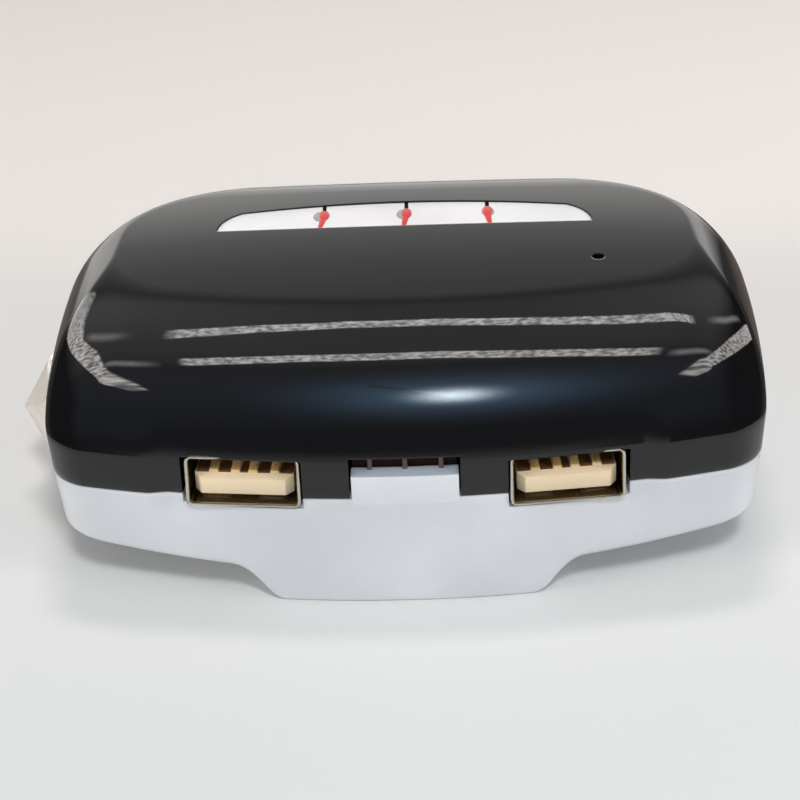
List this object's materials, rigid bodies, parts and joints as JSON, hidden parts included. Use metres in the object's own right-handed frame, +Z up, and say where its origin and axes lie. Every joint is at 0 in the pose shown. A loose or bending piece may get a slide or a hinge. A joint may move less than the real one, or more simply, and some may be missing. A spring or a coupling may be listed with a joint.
{
  "type": "car fm transmitter",
  "caption": "Low gloss transmitter housing with charging sockets along its bowed front, a half-moon light window on top and a car power plug that folds out underneath.",
  "frame": {"origin": "on the table, under the centre of the bounding box of the whole part", "axes": "+X along the width, away from the nose of the stowed plug; +Y from the sockets to the back; +Z up from the table"},
  "size_m": [0.0908, 0.0642, 0.0268],
  "materials": {
    "cover": "gloss",
    "shell": "gloss",
    "diffuser": "satin",
    "lens": "clear red",
    "clear_lens": "clear",
    "dark_strip": "clear dark red",
    "receiver": "matte",
    "nickel_sheet": "bright",
    "tongue": "satin",
    "contact": "bright",
    "board": "satin",
    "chip": "matte",
    "can": "satin",
    "ferrite": "matte",
    "copper": "enamelled wire",
    "steel": "satin",
    "plug_plastic": "satin",
    "plug_nickel": "bright",
    "spring_steel": "satin",
    "glass": "clear",
    "washer": "matte",
    "lead": "insulation"
  },
  "bodies": {
    "body": {"top_cover": "cover", "bottom_shell": "shell", "indicator_window": "diffuser", "led_left": "lens", "led_middle": "lens", "led_right": "lens", "status_led": "clear_lens", "ir_window": "dark_strip", "ir_receiver": "receiver", "usb_shell_left": "nickel_sheet", "usb_shell_right": "nickel_sheet", "usb_tongue_left": "tongue", "usb_tongue_right": "tongue", "usb_contacts_left": "contact", "usb_contacts_right": "contact", "main_board": "board", "controller_chip": "chip", "radio_module": "can", "crystal": "can", "power_inductor": "ferrite", "capacitors": "can", "regulator": "chip", "power_diode": "chip", "aerial_coil": "copper", "shell_screws": "steel", "hinge_pin": "steel", "hinge_washers": "washer", "supply_leads": "lead"},
    "plug": {"plug_half_front": "plug_plastic", "plug_half_rear": "plug_plastic", "nose_ring": "plug_plastic", "tip_spring": "spring_steel", "fuse": "glass", "fuse_contact": "contact", "plug_screws": "steel", "plug_leads": "lead"},
    "tip": {"tip_contact": "plug_nickel"},
    "earth_front": {"earth_contact_front": "plug_nickel"},
    "earth_rear": {"earth_contact_rear": "plug_nickel"}
  },
  "joints": [
    {"name": "plug_fold", "type": "hinge", "parent": "body", "child": "plug", "pos_m": [0.00275, -0.0021, 0.0105], "axis": [0, -1, 0], "range_deg": [0, 90]},
    {"name": "tip_press", "type": "slide", "parent": "plug", "child": "tip", "axis": [1, 0, 0], "range_m": [0, 0.0024], "stiffness_N_per_m": 2000, "springref_m": -0.001, "deforming": ["tip_spring"]},
    {"name": "earth_front_press", "type": "slide", "parent": "plug", "child": "earth_front", "axis": [0, 1, 0], "range_m": [0, 0.0011], "stiffness_N_per_m": 4000, "springref_m": -0.0005},
    {"name": "earth_rear_press", "type": "slide", "parent": "plug", "child": "earth_rear", "axis": [0, -1, 0], "range_m": [0, 0.0011], "stiffness_N_per_m": 4000, "springref_m": -0.0005}
  ]
}
